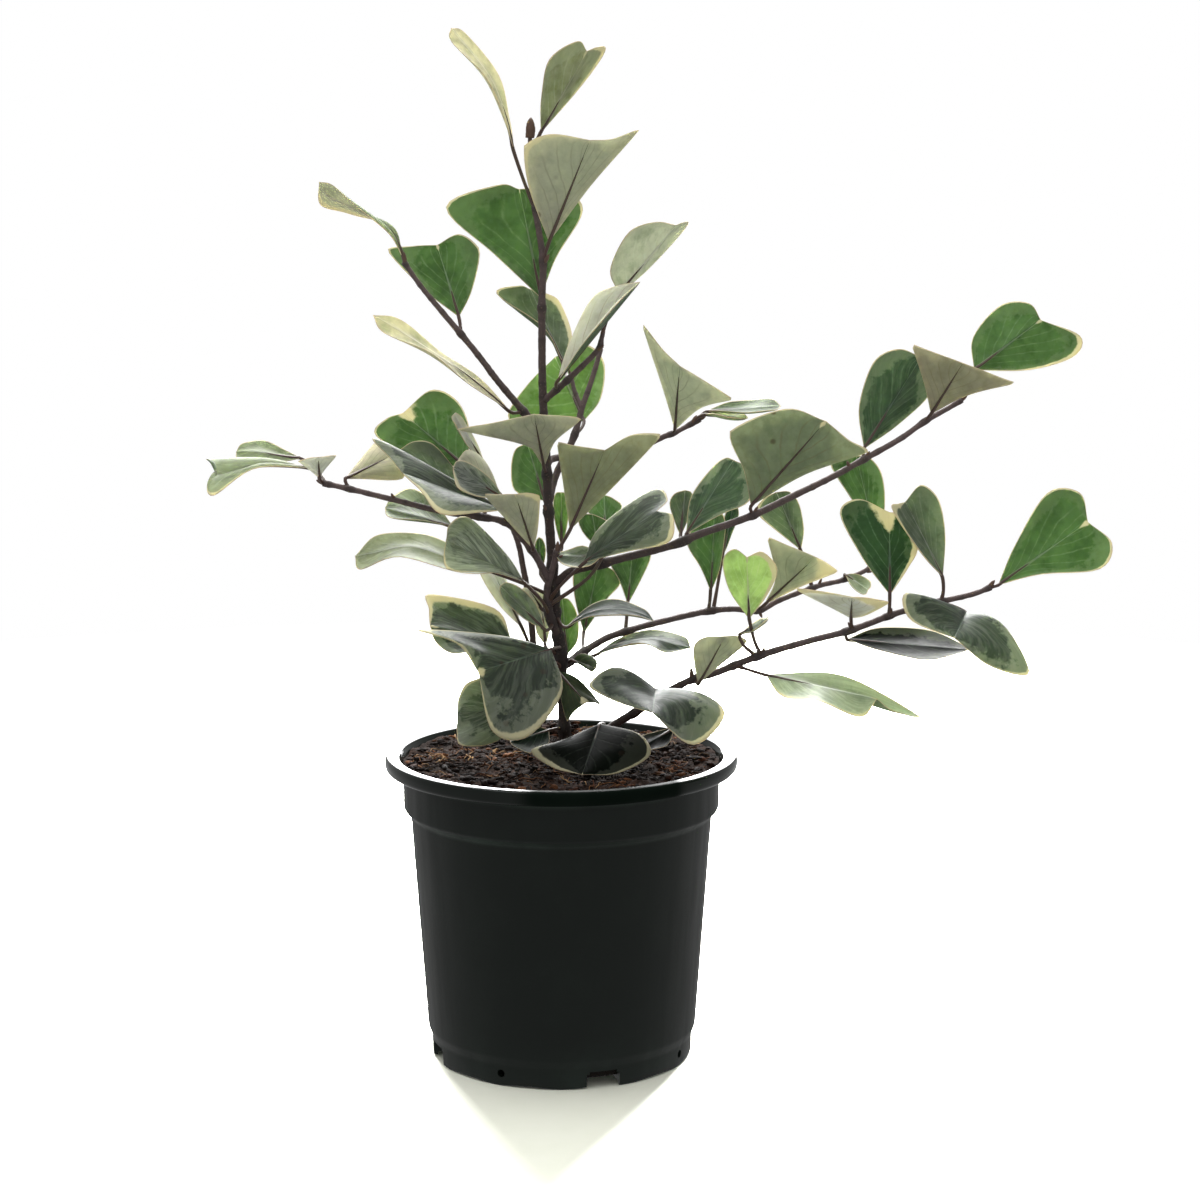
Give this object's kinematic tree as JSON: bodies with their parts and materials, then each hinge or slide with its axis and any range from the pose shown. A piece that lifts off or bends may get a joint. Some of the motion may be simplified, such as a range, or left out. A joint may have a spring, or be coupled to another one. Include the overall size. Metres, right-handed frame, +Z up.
{
  "type": "potted triangle fig",
  "caption": "Variegated triangle fig: blunt triangular cream-edged leaves on thin woody branches, growing in soil in a plain dark green nursery pot.",
  "frame": {"origin": "centre of the pot's underside, on the ground it stands on", "axes": "+Z up the stem, -Y towards the viewer of the picture, +X to the viewer's right"},
  "size_m": [0.3776, 0.152, 0.4388],
  "materials": {
    "pot_plastic": "satin moulded polypropylene, very dark green",
    "soil": "loose dark peat and bark fibre",
    "leafy_stem": "leathery waxy leaf, dark green with cream edges, on brown bark"
  },
  "bodies": {
    "root": {"nursery_pot": "pot_plastic", "potting_soil": "soil", "main_stem": "leafy_stem", "front_shoot": "leafy_stem", "upper_left_branch": "leafy_stem", "upper_right_shoot": "leafy_stem", "back_shoot": "leafy_stem", "right_back_branch": "leafy_stem", "left_branch": "leafy_stem", "left_stem": "leafy_stem", "upper_right_branch": "leafy_stem", "middle_right_branch": "leafy_stem", "low_right_branch": "leafy_stem"}
  },
  "joints": []
}
